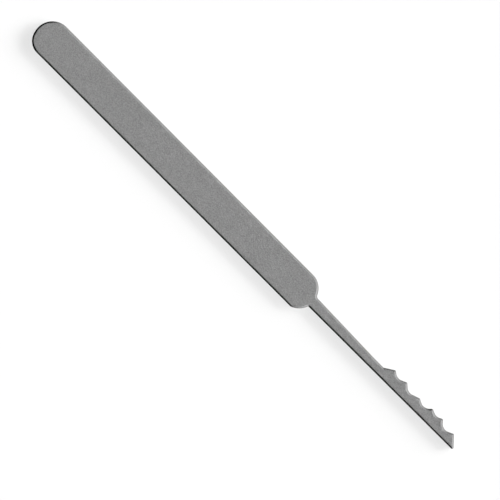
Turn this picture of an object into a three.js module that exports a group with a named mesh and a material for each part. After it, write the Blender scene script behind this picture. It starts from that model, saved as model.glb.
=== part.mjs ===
// A flat toothed clay modelling tool, cut in one piece from stainless steel sheet.
//
// The handle, the shank and the toothed blade are all one strip of the same sheet, with its
// edges rounded over, so the tool is a single mesh. The outline is measured in millimetres:
// x is the distance from the round end, y is the height above the handle's straight back edge.
//
// Frame: +X runs from the round end to the toothed tip, +Y towards the teeth, +Z up from the
// face that the tool lies on. The origin is on that face, under the middle of the tool.

import * as THREE from "three";

// The sheet.
const THICKNESS = 1.5;
const EDGE_ROUNDING = 0.4;

// The handle: a strip with a straight back edge along y = 0, a round end and a round shoulder.
// Both rounds are centred at the same height. The end turns into the back edge through a tighter
// corner. The shoulder bulges a little past the back edge, which cuts it off, so a faint corner is
// left there.
const HANDLE_AXIS_Y = 5.75;
const END_RADIUS = 6.05;
const END_CORNER_RADIUS = 5.0;
const END_CORNER_FROM = THREE.MathUtils.degToRad(195);
const SHOULDER_X = 111.05;
const SHOULDER_FRONT_RADIUS = 5.8;
const SHOULDER_BACK_RADIUS = 6.05;

// The shank: a narrow neck that leaves the shoulder and gets slimmer towards the blade.
const SHANK_BACK_Y = 3.8;
const SHANK_FRONT_Y = 7.5;
const ROOT_BACK_RADIUS = 0.4;
const ROOT_FRONT_RADIUS = 1.1;

// The blade: level for a short way, then toothed up to a pointed tip on the back edge.
const BLADE_FRONT_Y = 6.8;
const BLADE_START_X = 142.25;
const FIRST_TOOTH_X = 145.85;
const TIP = [178.4, 3.95];

// The teeth, from the handle to the tip, as the points where their straight flanks would meet.
const CRESTS = [
  [149.0, 8.8],
  [154.05, 8.65],
  [160.1, 7.95],
  [165.05, 8.5],
  [169.45, 8.5],
  [174.9, 7.65],
];
const HOLLOWS = [
  [151.1, 7.3],
  [156.35, 6.65],
  [163.0, 6.5],
  [167.4, 7.5],
  [171.5, 6.05],
];
const CREST_RADIUS = 0.45; // of the tip too; it has to stay above EDGE_ROUNDING
const HOLLOW_RADIUS = 2.6;
const FIRST_TOOTH_FOOT_RADIUS = 0.3;

// How finely the faces follow the curves.
const ARC_STEP = THREE.MathUtils.degToRad(6);
const EDGE_STEPS = 4;

const STEEL = new THREE.MeshStandardMaterial({
  color: 0x8f8f8f,
  roughness: 0.45,
  metalness: 1.0,
});

// Points along an arc, both ends included. It runs clockwise where `to` is less than `from`.
function arcPoints(centre, radius, from, to) {
  const steps = Math.max(2, Math.ceil(Math.abs(to - from) / ARC_STEP));
  return new THREE.ArcCurve(centre.x, centre.y, radius, from, to, to < from).getPoints(steps);
}

// The arc that rounds the corner between its two neighbours.
function roundedCorner(before, corner, after, radius) {
  const toBefore = before.clone().sub(corner).normalize();
  const toAfter = after.clone().sub(corner).normalize();
  const halfAngle = Math.acos(toBefore.dot(toAfter)) / 2;
  const inward = toBefore.clone().add(toAfter).normalize();
  const centre = corner.clone().addScaledVector(inward, radius / Math.sin(halfAngle));
  const tangentLength = radius / Math.tan(halfAngle);
  const start = corner.clone().addScaledVector(toBefore, tangentLength).sub(centre);
  const end = corner.clone().addScaledVector(toAfter, tangentLength).sub(centre);
  const turn = Math.atan2(start.cross(end), start.dot(end));
  return arcPoints(centre, radius, start.angle(), start.angle() + turn);
}

// The hollow fillet where an edge of the shank, at height y, runs into the shoulder's arc.
// `side` is +1 for the shank's front edge and -1 for its back edge.
function rootFillet(shoulderCentre, shoulderRadius, y, side, radius) {
  const centreY = y + side * radius;
  const rise = centreY - shoulderCentre.y;
  const reach = Math.sqrt((shoulderRadius + radius) ** 2 - rise ** 2);
  const centre = new THREE.Vector2(shoulderCentre.x + reach, centreY);
  const shoulderAngle = Math.atan2(rise, reach);
  return { centre, shoulderAngle };
}

// The tighter corner between the round end and the back edge. It starts from the straight tangent
// at the end of the arc.
function endCorner(arcEnd, backEdgePoint) {
  const tangent = new THREE.Vector2(-Math.sin(END_CORNER_FROM), Math.cos(END_CORNER_FROM));
  const corner = arcEnd.clone().addScaledVector(tangent, -arcEnd.y / tangent.y);
  return roundedCorner(arcEnd, corner, backEdgePoint, END_CORNER_RADIUS);
}

// The whole outline, anticlockwise from where the back edge meets the shoulder.
function toolOutline() {
  const endCentre = new THREE.Vector2(END_RADIUS, HANDLE_AXIS_Y);
  const shoulderCentre = new THREE.Vector2(SHOULDER_X, HANDLE_AXIS_Y);
  const back = rootFillet(
    shoulderCentre, SHOULDER_BACK_RADIUS, SHANK_BACK_Y, -1, ROOT_BACK_RADIUS,
  );
  const front = rootFillet(
    shoulderCentre, SHOULDER_FRONT_RADIUS, SHANK_FRONT_Y, +1, ROOT_FRONT_RADIUS,
  );
  const shoulderCutAngle = Math.asin(HANDLE_AXIS_Y / SHOULDER_BACK_RADIUS);
  const quarter = Math.PI / 2;

  const shoulderBack = [
    ...arcPoints(shoulderCentre, SHOULDER_BACK_RADIUS, -shoulderCutAngle, back.shoulderAngle),
    ...arcPoints(back.centre, ROOT_BACK_RADIUS, back.shoulderAngle + Math.PI, quarter).slice(1),
  ];
  const shoulderFront = [
    ...arcPoints(front.centre, ROOT_FRONT_RADIUS, -quarter, front.shoulderAngle - Math.PI),
    ...arcPoints(shoulderCentre, SHOULDER_FRONT_RADIUS, front.shoulderAngle, quarter).slice(1),
  ];
  const roundEnd = arcPoints(endCentre, END_RADIUS, quarter, END_CORNER_FROM);
  roundEnd.push(...endCorner(roundEnd.at(-1), shoulderBack[0]));

  const corners = [{ at: TIP, radius: CREST_RADIUS }];
  for (let tooth = CRESTS.length - 1; tooth >= 0; tooth -= 1) {
    corners.push({ at: CRESTS[tooth], radius: CREST_RADIUS });
    if (tooth > 0) corners.push({ at: HOLLOWS[tooth - 1], radius: HOLLOW_RADIUS });
  }
  corners.push({ at: [FIRST_TOOTH_X, BLADE_FRONT_Y], radius: FIRST_TOOTH_FOOT_RADIUS });

  const bladeStart = new THREE.Vector2(BLADE_START_X, BLADE_FRONT_Y);
  const route = [
    shoulderBack.at(-1),
    ...corners.map((corner) => new THREE.Vector2(...corner.at)),
    bladeStart,
  ];
  const teeth = corners.flatMap((corner, i) =>
    roundedCorner(route[i], route[i + 1], route[i + 2], corner.radius),
  );
  return [...shoulderBack, ...teeth, bladeStart, ...shoulderFront, ...roundEnd];
}

// The sheet cut to the outline, with both of its edges rounded over.
function makeToolBody() {
  const geometry = new THREE.ExtrudeGeometry(new THREE.Shape(toolOutline()), {
    depth: THICKNESS - 2 * EDGE_ROUNDING,
    bevelThickness: EDGE_ROUNDING,
    bevelSize: EDGE_ROUNDING,
    bevelOffset: -EDGE_ROUNDING,
    bevelSegments: EDGE_STEPS,
  });
  geometry.computeBoundingBox();
  const middle = geometry.boundingBox.getCenter(new THREE.Vector3());
  geometry.translate(-middle.x, -middle.y, -geometry.boundingBox.min.z);
  const body = new THREE.Mesh(geometry, STEEL);
  body.name = "steel_tool_body";
  return body;
}

const tool = new THREE.Group();
tool.add(makeToolBody());

export default tool;
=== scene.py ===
"""Looks of the flat toothed clay tool: one strip of bead-blasted stainless steel on a pale table.

The strip keeps the outline, thickness and place of the CAD node. It is meshed again here with finely
rounded edges, and it gets a steel that shows its blasted faces, burnished edges and ground teeth.
"""

import math

import bmesh
import bpy
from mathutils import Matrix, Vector, noise


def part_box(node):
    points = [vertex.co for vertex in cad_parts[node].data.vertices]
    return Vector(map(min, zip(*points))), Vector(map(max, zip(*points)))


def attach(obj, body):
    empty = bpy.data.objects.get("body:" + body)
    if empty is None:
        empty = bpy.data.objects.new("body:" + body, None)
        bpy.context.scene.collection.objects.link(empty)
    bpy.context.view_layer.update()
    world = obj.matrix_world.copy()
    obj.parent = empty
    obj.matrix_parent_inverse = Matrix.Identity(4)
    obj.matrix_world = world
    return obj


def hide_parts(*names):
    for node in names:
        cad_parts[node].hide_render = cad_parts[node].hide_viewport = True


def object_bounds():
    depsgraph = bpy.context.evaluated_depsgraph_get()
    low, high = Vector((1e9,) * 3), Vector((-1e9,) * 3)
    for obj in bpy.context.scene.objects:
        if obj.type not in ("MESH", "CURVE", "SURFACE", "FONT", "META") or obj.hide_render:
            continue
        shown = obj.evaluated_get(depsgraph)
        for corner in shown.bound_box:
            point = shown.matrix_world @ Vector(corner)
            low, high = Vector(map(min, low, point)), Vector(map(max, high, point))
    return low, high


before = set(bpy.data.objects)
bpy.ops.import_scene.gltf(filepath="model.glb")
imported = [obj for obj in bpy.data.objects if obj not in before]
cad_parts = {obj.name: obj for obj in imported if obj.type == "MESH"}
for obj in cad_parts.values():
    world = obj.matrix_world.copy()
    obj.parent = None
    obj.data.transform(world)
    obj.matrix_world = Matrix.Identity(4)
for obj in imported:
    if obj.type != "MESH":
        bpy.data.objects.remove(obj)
CAD_LOW, CAD_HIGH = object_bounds()

MM = 0.001
MICRON = 0.000001
NODE = "steel_tool_body"

# The steel strip's mesh.
EDGE_RADIUS = 0.72 * MM    # nearly half the thickness, so that the strip's edge is almost a half round
EDGE_STEPS = 12            # faces across each rounded edge
EDGE_UNEVENNESS = 0.03     # how much the tumbled edge's radius wanders, as a share of it
EDGE_WANDER_LENGTH = 7 * MM
TIGHT_MARGIN = 1.1         # an arc this close to the edge's own radius already counts as tight
CREST_KEPT = 0.06          # a crest's arc shrinks to this share where its two flanks meet
FACE_MARGIN = 0.02 * MM    # a narrow flat border that keeps the face's shading flat
SLICE_LENGTH = 2.6 * MM    # the flat faces are cut across at this spacing

# The steel's finish. Noise scales are features per metre, and heights are in microns.
NOISE_TURN = (0.6, 0.4, 0.3)  # keeps both faces from lying along the noise's own grid
PIT_SCALE = 5000
GRAIN_SCALE = 2600
SWELL_SCALE = 1600
CLOUD_SCALE = 400
PATCH_SCALE = 45
PIT_HEIGHT = 55
GRAIN_HEIGHT = 50
SWELL_HEIGHT = 90
EDGE_SMOOTHING = 0.6       # the share of the blasted relief that the burnished edges have lost
SCRATCHES = (              # degrees from the strip's length, and lines per metre
    (4, 9000),
    (-9, 7000),
)
SCRATCH_STRETCH = 60       # lines per metre along their own length
SCRATCH_RANGE = (0.70, 0.76)
PATCH_RANGE = (0.5, 0.65)  # the scratches show only in patches
SCRATCH_DEPTH = 3
GRINDING_SCALE = (9000, 9000, 150)  # close together along the strip, and drawn out up the wall
GRINDING_HEIGHT = 5
TONE_SHARES = (0.45, 0.1)  # how much the pits and the grain each add to the tone, and the clouds
TONE_RANGE = (0.38, 0.62)  # where nearly all of the tone lies
CLOUD_RANGE = (0.3, 0.7)
GRAIN_DARK = 0.472
GRAIN_LIGHT = 0.578
EDGE_COLOUR_AND_SHADE = 0.40         # the edges' colour, darker than the faces: partly the burnished finish, partly painted shade that draws a dark outline round the strip
BLASTED_ROUGHNESS = 0.80
ROUGHNESS_SPREAD = 0.06    # how far the roughness swings either side with the grain
CLOUD_ROUGHNESS = 0.03
EDGE_POLISH = 0.62         # how much smoother the burnished edges are
SCRATCH_POLISH = 0.15
# Flatness is how level the surface lies, from 1 on the two faces to 0 on the side wall.
EDGE_FLATNESS = (0.995, 0.93)
WALL_FLATNESS = (0.5, 0.15)
FLATNESS_WANDER = 0.02

# Where the tool lies in the picture. The camera looks straight down, with the tool running from
# the upper left to the lower right.
VIEW_CENTRE = Vector((3.5, -2.5)) * MM
VIEW_WIDTH = 150.3 * MM
VIEW_TURN = math.radians(45)
LENS = 1000
SENSOR = 36

# Light. Directions are azimuths in the tool's own frame, from +X towards +Y.
FLOOR_WHITE = 1.008        # how bright the unshaded floor comes out, where 1 is full white
FLOOR_ALBEDO = 0.8
FLOOR_SIZE = 3.0
FLOOR_GAP = 0.02 * MM
# The key light is one wide, low softbox, drawn as three discs side by side: azimuth, elevation,
# spread (all in degrees), and share of the floor's light.
KEY_DISCS = (
    (29, 15, 20, 0.070),
    (51, 12, 16, 0.115),
    (73, 15, 20, 0.055),
)
TOP_SPREAD = 8
BRIGHT_AZIMUTH = math.radians(27.5)
# Heights in the room are those of unit directions: 1 is overhead, 0 level and -1 straight down.
HORIZON = (0.05, -0.25)    # where the walls give way to the table
WALL_HEIGHTS = (-0.8, 1.0)
WALL_FOOT_LIGHT = 0.1      # the walls' light at the lower of those heights, as a share
TABLE_DARK = 0.013
TABLE_BRIGHT = 0.865
TABLE_TURN = (-0.4, 0.6)   # where the table brightens, from -1, the dark side, to 1, the bright
NEAR_TABLE_HEIGHTS = (-0.2, -1.0)
NEAR_TABLE_LIGHT = 0.28    # how bright the table is straight below, even on the dark side
# The room's brightness, from its darkest side (0) through overhead (0.5) to its brightest (1).
ROOM_STOPS = (
    (0.0, 0.007),
    (0.20, 0.007),
    (0.30, 0.06),
    (0.37, 0.17),
    (0.45, 0.57),
    (0.5, 0.80),
    (0.60, 1.10),
    (0.75, 1.46),
    (1.0, 1.70),
)


def side_wall_foot():
    """The height above the underside at which the CAD node's side wall starts."""
    low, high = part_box(NODE)
    sides = [v.co.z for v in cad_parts[NODE].data.vertices if v.co.x < low.x + MICRON]
    return min(sides) - low.z


def cad_outline():
    """The CAD node's outline, anticlockwise, as 2-D points."""
    low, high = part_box(NODE)
    height = low.z + side_wall_foot()
    bm = bmesh.new()
    bm.from_mesh(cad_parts[NODE].data)
    bmesh.ops.remove_doubles(bm, verts=bm.verts, dist=MICRON)
    level = {v for v in bm.verts if abs(v.co.z - height) < MICRON}
    beside = {v: [e.other_vert(v) for e in v.link_edges if e.other_vert(v) in level] for v in level}
    start = min(level, key=lambda v: (v.co.x, v.co.y))
    ring = [start]
    previous, current = None, start
    while True:
        following = next(v for v in beside[current] if v is not previous)
        if following is start:
            break
        ring.append(following)
        previous, current = current, following
    points = [v.co.xy.copy() for v in ring]
    bm.free()
    turned_area = sum(a.cross(b) for a, b in zip(points, points[1:] + points[:1]))
    return points if turned_area > 0 else points[::-1]


class Outline:
    """A closed outline that can be drawn again at any depth inside itself.

    A convex arc shrinks as it moves in. Once the depth passes its radius its two flanks meet, and
    from there on it follows their corner, as the ridge of a rounded crest does.
    """

    def __init__(self, points):
        self.points = points
        self.count = len(points)
        self.normals = [self.edge_normal(i) for i in range(self.count)]
        self.steps = [self.miter(self.normals[i - 1], self.normals[i]) for i in range(self.count)]
        self.crests = {}
        for first, last in self.tight_runs():
            self.add_crest(first, last)

    def edge_normal(self, i):
        """The inward unit normal of the edge from point i to the next."""
        along = (self.points[(i + 1) % self.count] - self.points[i]).normalized()
        return Vector((-along.y, along.x))

    def miter(self, normal_before, normal_after):
        """The step that moves the two edges at a corner inwards by one unit."""
        both = normal_before + normal_after
        return both * (2 / both.length_squared)

    def is_tight(self, i):
        """Whether point i is inside a convex arc with a radius too small for the edge's."""
        before = (self.points[i] - self.points[i - 1]).length
        after = (self.points[(i + 1) % self.count] - self.points[i]).length
        turn = math.asin(self.normals[i - 1].cross(self.normals[i]))
        return turn > 0 and (before + after) / 2 < TIGHT_MARGIN * EDGE_RADIUS * turn

    def tight_runs(self):
        """The first and last point of each tight arc, its ends included."""
        tight = [self.is_tight(i) for i in range(self.count)]
        following = [(i + 1) % self.count for i in range(self.count)]
        firsts = [i - 1 for i in range(self.count) if tight[i] and not tight[i - 1]]
        lasts = [j for i, j in enumerate(following) if tight[i] and not tight[j]]
        return zip(firsts, lasts)

    def add_crest(self, first, last):
        """Keep the arc's centre and radius, and its flanks' step, for each point of a tight arc."""
        normal_before = self.normals[first - 1]
        normal_after = self.normals[last]
        chord = self.points[last] - self.points[first]
        radius = chord.length / (normal_after - normal_before).length
        centre = self.points[first] + normal_before * radius
        step = self.miter(normal_before, normal_after)
        for i in range(first, last + 1):
            self.crests[i] = (centre, step, radius)

    def inset(self, i, depth):
        """Where outline point i is once the outline has moved in by this depth."""
        if i not in self.crests:
            return self.points[i] + self.steps[i] * depth
        centre, step, radius = self.crests[i]
        beyond = max(depth - radius, 0)
        kept = max(1 - depth / radius, CREST_KEPT)
        return centre + step * beyond + (self.points[i] - centre) * kept


def edge_radii(points):
    """The edge's radius at each point: tumbling leaves it a little uneven along the strip."""
    radii = []
    for point in points:
        wander = noise.noise(Vector((point.x, point.y, 0)) / EDGE_WANDER_LENGTH)
        radii.append(EDGE_RADIUS * (1 + EDGE_UNEVENNESS * wander))
    return radii


def make_strip(material):
    """The tool body: the CAD outline swept over a round-edged section, closed by two flat faces."""
    low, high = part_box(NODE)
    outline = Outline(cad_outline())
    radii = edge_radii(outline.points)
    bm = bmesh.new()

    def ring(angle, side, margin=0.0):
        """One level of a rounded edge: angle 0 is where it meets the face, 90 degrees the wall."""
        verts = []
        for i, radius in enumerate(radii):
            place = outline.inset(i, radius * (1 - math.sin(angle)) + margin)
            rise = radius * (1 - math.cos(angle))
            z = low.z + rise if side == "lower" else high.z - rise
            verts.append(bm.verts.new((place.x, place.y, z)))
        return verts

    angles = [math.pi / 2 * step / EDGE_STEPS for step in range(EDGE_STEPS + 1)]
    rings = [ring(0, "lower", FACE_MARGIN)]
    rings += [ring(angle, "lower") for angle in angles]
    rings += [ring(angle, "upper") for angle in reversed(angles)]
    rings += [ring(0, "upper", FACE_MARGIN)]
    for below, above in zip(rings, rings[1:]):
        for i in range(outline.count):
            j = (i + 1) % outline.count
            bm.faces.new((below[i], below[j], above[j], above[i]))
    bm.faces.new(reversed(rings[0]))
    bm.faces.new(rings[-1])

    slices = int((high.x - low.x) / SLICE_LENGTH)
    for k in range(1, slices):
        cut_x = low.x + (high.x - low.x) * k / slices
        everything = bm.verts[:] + bm.edges[:] + bm.faces[:]
        bmesh.ops.bisect_plane(bm, geom=everything, plane_co=(cut_x, 0, 0), plane_no=(1, 0, 0))
    bmesh.ops.recalc_face_normals(bm, faces=bm.faces)
    for face in bm.faces:
        face.smooth = True

    mesh = bpy.data.meshes.new("tool_body")
    bm.to_mesh(mesh)
    bm.free()
    mesh.materials.append(material)
    strip = bpy.data.objects.new("tool_body", mesh)
    bpy.context.scene.collection.objects.link(strip)
    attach(strip, "root")
    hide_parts(NODE)
    return strip


class Nodes:
    """A node tree with short calls for adding and joining nodes."""

    def __init__(self, tree):
        self.tree = tree
        tree.nodes.clear()

    def add(self, kind, inputs=None, **settings):
        node = self.tree.nodes.new(kind)
        for name, value in settings.items():
            setattr(node, name, value)
        for name, value in (inputs or {}).items():
            if isinstance(value, bpy.types.NodeSocket):
                self.tree.links.new(value, node.inputs[name])
            else:
                node.inputs[name].default_value = value
        return node

    def math(self, operation, a, b=0.0, clamp=False):
        return self.add("ShaderNodeMath", {0: a, 1: b}, operation=operation, use_clamp=clamp).outputs[0]

    def dot(self, direction, fixed):
        inputs = {0: direction, 1: fixed}
        return self.add("ShaderNodeVectorMath", inputs, operation="DOT_PRODUCT").outputs["Value"]

    def ranged(self, value, low, high, to_low=0.0, to_high=1.0):
        """The value carried smoothly from one range to another, and held at its ends."""
        node = self.add("ShaderNodeMapRange", {"Value": value}, interpolation_type="SMOOTHSTEP")
        node.inputs["From Min"].default_value = low
        node.inputs["From Max"].default_value = high
        node.inputs["To Min"].default_value = to_low
        node.inputs["To Max"].default_value = to_high
        return node.outputs[0]

    def noise(self, place, scale, detail=2.0, roughness=0.5):
        inputs = {"Vector": place, "Scale": scale, "Detail": detail, "Roughness": roughness}
        return self.add("ShaderNodeTexNoise", inputs).outputs["Fac"]

    def mapped(self, place, turn=(0, 0, 0), stretch=(1, 1, 1)):
        inputs = {"Vector": place, "Rotation": turn, "Scale": stretch}
        return self.add("ShaderNodeMapping", inputs).outputs[0]


def make_steel():
    """Bead-blasted stainless steel: fine pits all over the faces, smoother burnished edges."""
    material = bpy.data.materials.new("blasted_steel")
    material.use_nodes = True
    n = Nodes(material.node_tree)
    coordinates = n.add("ShaderNodeTexCoord")
    place = coordinates.outputs["Object"]
    up = n.add("ShaderNodeSeparateXYZ", {"Vector": coordinates.outputs["Normal"]}).outputs["Z"]

    # The beads leave pits about 0.2 mm across and a coarser grain, and the surface swells a little.
    turned = n.mapped(place, NOISE_TURN)
    pits = n.noise(turned, PIT_SCALE, 3.0, 0.6)
    grain = n.noise(turned, GRAIN_SCALE)
    swell = n.noise(turned, SWELL_SCALE)
    cloud = n.noise(turned, CLOUD_SCALE)
    fine_share, cloud_share = TONE_SHARES
    tone = n.math("MULTIPLY", n.math("ADD", pits, grain), fine_share)
    tone = n.math("ADD", tone, n.math("MULTIPLY", cloud, cloud_share))

    # How far round the edge the surface has turned. Handling has burnished it unevenly.
    wander = n.ranged(cloud, *CLOUD_RANGE, -FLATNESS_WANDER, FLATNESS_WANDER)
    flatness = n.math("ADD", n.math("ABSOLUTE", up), wander)
    edge = n.ranged(flatness, *EDGE_FLATNESS)
    wall = n.ranged(flatness, *WALL_FLATNESS)

    # Fine scratches along the strip, faint and broken up.
    scratches = 0.0
    for turn, closeness in SCRATCHES:
        stretch = (SCRATCH_STRETCH, closeness, SCRATCH_STRETCH)
        lines = n.noise(n.mapped(place, (0, 0, math.radians(turn)), stretch), 1.0, 1.0)
        scratches = n.math("ADD", scratches, n.ranged(lines, *SCRATCH_RANGE))
    patches = n.ranged(n.noise(place, PATCH_SCALE, 1.0), *PATCH_RANGE)
    scratches = n.math("MULTIPLY", scratches, patches, clamp=True)

    # The wheel that ground the outline left marks across the thickness of the strip.
    grinding = n.noise(n.mapped(place, stretch=GRINDING_SCALE), 1.0)

    face_grey = n.ranged(tone, *TONE_RANGE, GRAIN_DARK, GRAIN_LIGHT)
    # The edges take a darker colour than the faces: partly their burnished finish, partly painted
    # shade, a dark outline all round the strip.
    grey = n.add("ShaderNodeMix", {0: edge, 2: face_grey, 3: EDGE_COLOUR_AND_SHADE}).outputs[0]

    roughest = BLASTED_ROUGHNESS + ROUGHNESS_SPREAD
    smoothest = BLASTED_ROUGHNESS - ROUGHNESS_SPREAD
    roughness = n.ranged(tone, *TONE_RANGE, roughest, smoothest)
    clouding = n.ranged(cloud, *CLOUD_RANGE, -CLOUD_ROUGHNESS, CLOUD_ROUGHNESS)
    roughness = n.math("ADD", roughness, clouding)
    roughness = n.math("SUBTRACT", roughness, n.math("MULTIPLY", edge, EDGE_POLISH))
    roughness = n.math("SUBTRACT", roughness, n.math("MULTIPLY", scratches, SCRATCH_POLISH))

    blasted = n.math("MULTIPLY", pits, PIT_HEIGHT)
    blasted = n.math("ADD", blasted, n.math("MULTIPLY", grain, GRAIN_HEIGHT))
    blasted = n.math("ADD", blasted, n.math("MULTIPLY", swell, SWELL_HEIGHT))
    kept = n.math("SUBTRACT", 1.0, n.math("MULTIPLY", edge, EDGE_SMOOTHING))
    height = n.math("MULTIPLY", blasted, kept)
    height = n.math("SUBTRACT", height, n.math("MULTIPLY", scratches, SCRATCH_DEPTH))
    ground = n.math("MULTIPLY", wall, GRINDING_HEIGHT)
    height = n.math("ADD", height, n.math("MULTIPLY", grinding, ground))
    bump = n.add("ShaderNodeBump", {"Height": height, "Strength": 1.0, "Distance": MICRON})

    steel = n.add("ShaderNodeBsdfPrincipled", {
        "Base Color": grey,
        "Metallic": 1.0,
        "Roughness": roughness,
        "Normal": bump.outputs[0],
    })
    n.add("ShaderNodeOutputMaterial", {"Surface": steel.outputs[0]})
    return material


def make_floor():
    """A plain pale table top."""
    material = bpy.data.materials.new("table_white")
    material.use_nodes = True
    n = Nodes(material.node_tree)
    white = (FLOOR_ALBEDO, FLOOR_ALBEDO, FLOOR_ALBEDO, 1)
    surface = n.add("ShaderNodeBsdfDiffuse", {"Color": white})
    n.add("ShaderNodeOutputMaterial", {"Surface": surface.outputs[0]})
    bm = bmesh.new()
    bmesh.ops.create_grid(bm, x_segments=1, y_segments=1, size=FLOOR_SIZE / 2)
    mesh = bpy.data.meshes.new("table_top")
    bm.to_mesh(mesh)
    bm.free()
    mesh.materials.append(material)
    floor = bpy.data.objects.new("table_top", mesh)
    floor.location.z = CAD_LOW.z - FLOOR_GAP
    floor.visible_glossy = False
    bpy.context.scene.collection.objects.link(floor)


def make_sun(name, azimuth, elevation, spread, floor_light):
    """A soft disc of light that gives the level floor this much light. Its angles are in degrees."""
    turn, climb = math.radians(azimuth), math.radians(elevation)
    lamp = bpy.data.lights.new(name, "SUN")
    lamp.angle = math.radians(spread)
    lamp.energy = floor_light / math.sin(climb)
    sun = bpy.data.objects.new(name, lamp)
    level = Vector((math.cos(turn), math.sin(turn), 0)) * math.cos(climb)
    towards = level + Vector((0, 0, math.sin(climb)))
    sun.rotation_euler = towards.to_track_quat("Z", "Y").to_euler()
    sun.visible_glossy = False
    bpy.context.scene.collection.objects.link(sun)
    return sun


def make_lights():
    """A low soft key from the picture's upper right, and a soft light from above."""
    floor_light = FLOOR_WHITE * math.pi / FLOOR_ALBEDO
    for i, (azimuth, elevation, spread, share) in enumerate(KEY_DISCS):
        make_sun(f"key_{i + 1}", azimuth, elevation, spread, floor_light * share)
    top_share = 1 - sum(share for *_, share in KEY_DISCS)
    make_sun("top", 0, 90, TOP_SPREAD, floor_light * top_share)


def make_room():
    """The room that the steel reflects, bright on one side and dark on the other."""
    world = bpy.data.worlds.new("studio")
    bpy.context.scene.world = world
    world.use_nodes = True
    n = Nodes(world.node_tree)
    direction = n.add("ShaderNodeTexCoord").outputs["Generated"]
    up = n.add("ShaderNodeSeparateXYZ", {"Vector": direction}).outputs["Z"]
    bright_side = Vector((math.cos(BRIGHT_AZIMUTH), math.sin(BRIGHT_AZIMUTH), 0))
    share = n.math("ADD", n.math("MULTIPLY", n.dot(direction, bright_side), 0.5), 0.5)
    ramp = n.add("ShaderNodeValToRGB", {"Fac": share})
    elements = ramp.color_ramp.elements
    while len(elements) < len(ROOM_STOPS):
        elements.new(0.5)
    for element, (position, level) in zip(elements, ROOM_STOPS):
        element.position = position
        element.color = (level, level, level, 1)
    walls = n.math("MULTIPLY", ramp.outputs[0], n.ranged(up, *WALL_HEIGHTS, WALL_FOOT_LIGHT))

    # Below the horizon is the table. It is dark towards the dark side of the room, but less so
    # below the tool, where the lower half of its edge sees the white right beside it.
    flat = n.add("ShaderNodeVectorMath", {0: direction, 1: (1, 1, 0)}, operation="MULTIPLY")
    compass = n.add("ShaderNodeVectorMath", {0: flat.outputs[0]}, operation="NORMALIZE")
    lit_side = n.ranged(n.dot(compass.outputs[0], bright_side), *TABLE_TURN)
    lit_near = n.ranged(up, *NEAR_TABLE_HEIGHTS, 0.0, NEAR_TABLE_LIGHT)
    lit = n.math("MAXIMUM", lit_side, lit_near)
    table = n.math("ADD", n.math("MULTIPLY", lit, TABLE_BRIGHT - TABLE_DARK), TABLE_DARK)
    below = n.ranged(up, *HORIZON)
    walls = n.math("MULTIPLY", walls, n.math("SUBTRACT", 1.0, below))
    level = n.math("ADD", walls, n.math("MULTIPLY", table, below))

    path = n.add("ShaderNodeLightPath")
    room = n.add("ShaderNodeBackground", {
        "Color": (1, 1, 1, 1),
        "Strength": n.math("MULTIPLY", path.outputs["Is Glossy Ray"], level),
    })
    backdrop = n.add("ShaderNodeBackground", {
        "Color": (1, 1, 1, 1),
        "Strength": path.outputs["Is Camera Ray"],
    })
    both = n.add("ShaderNodeAddShader", {0: room.outputs[0], 1: backdrop.outputs[0]})
    n.add("ShaderNodeOutputWorld", {"Surface": both.outputs[0]})


def make_camera():
    """A long lens straight above the tool."""
    data = bpy.data.cameras.new("camera")
    data.lens = LENS
    data.sensor_width = SENSOR
    data.clip_start = 0.01
    data.clip_end = 20
    camera = bpy.data.objects.new("camera", data)
    distance = VIEW_WIDTH * LENS / SENSOR
    camera.location = (VIEW_CENTRE.x, VIEW_CENTRE.y, CAD_HIGH.z + distance)
    camera.rotation_euler = (0, 0, VIEW_TURN)
    bpy.context.scene.collection.objects.link(camera)
    bpy.context.scene.camera = camera


make_camera()
make_strip(make_steel())
make_floor()
make_lights()
make_room()
bpy.context.scene.view_settings.view_transform = "Standard"
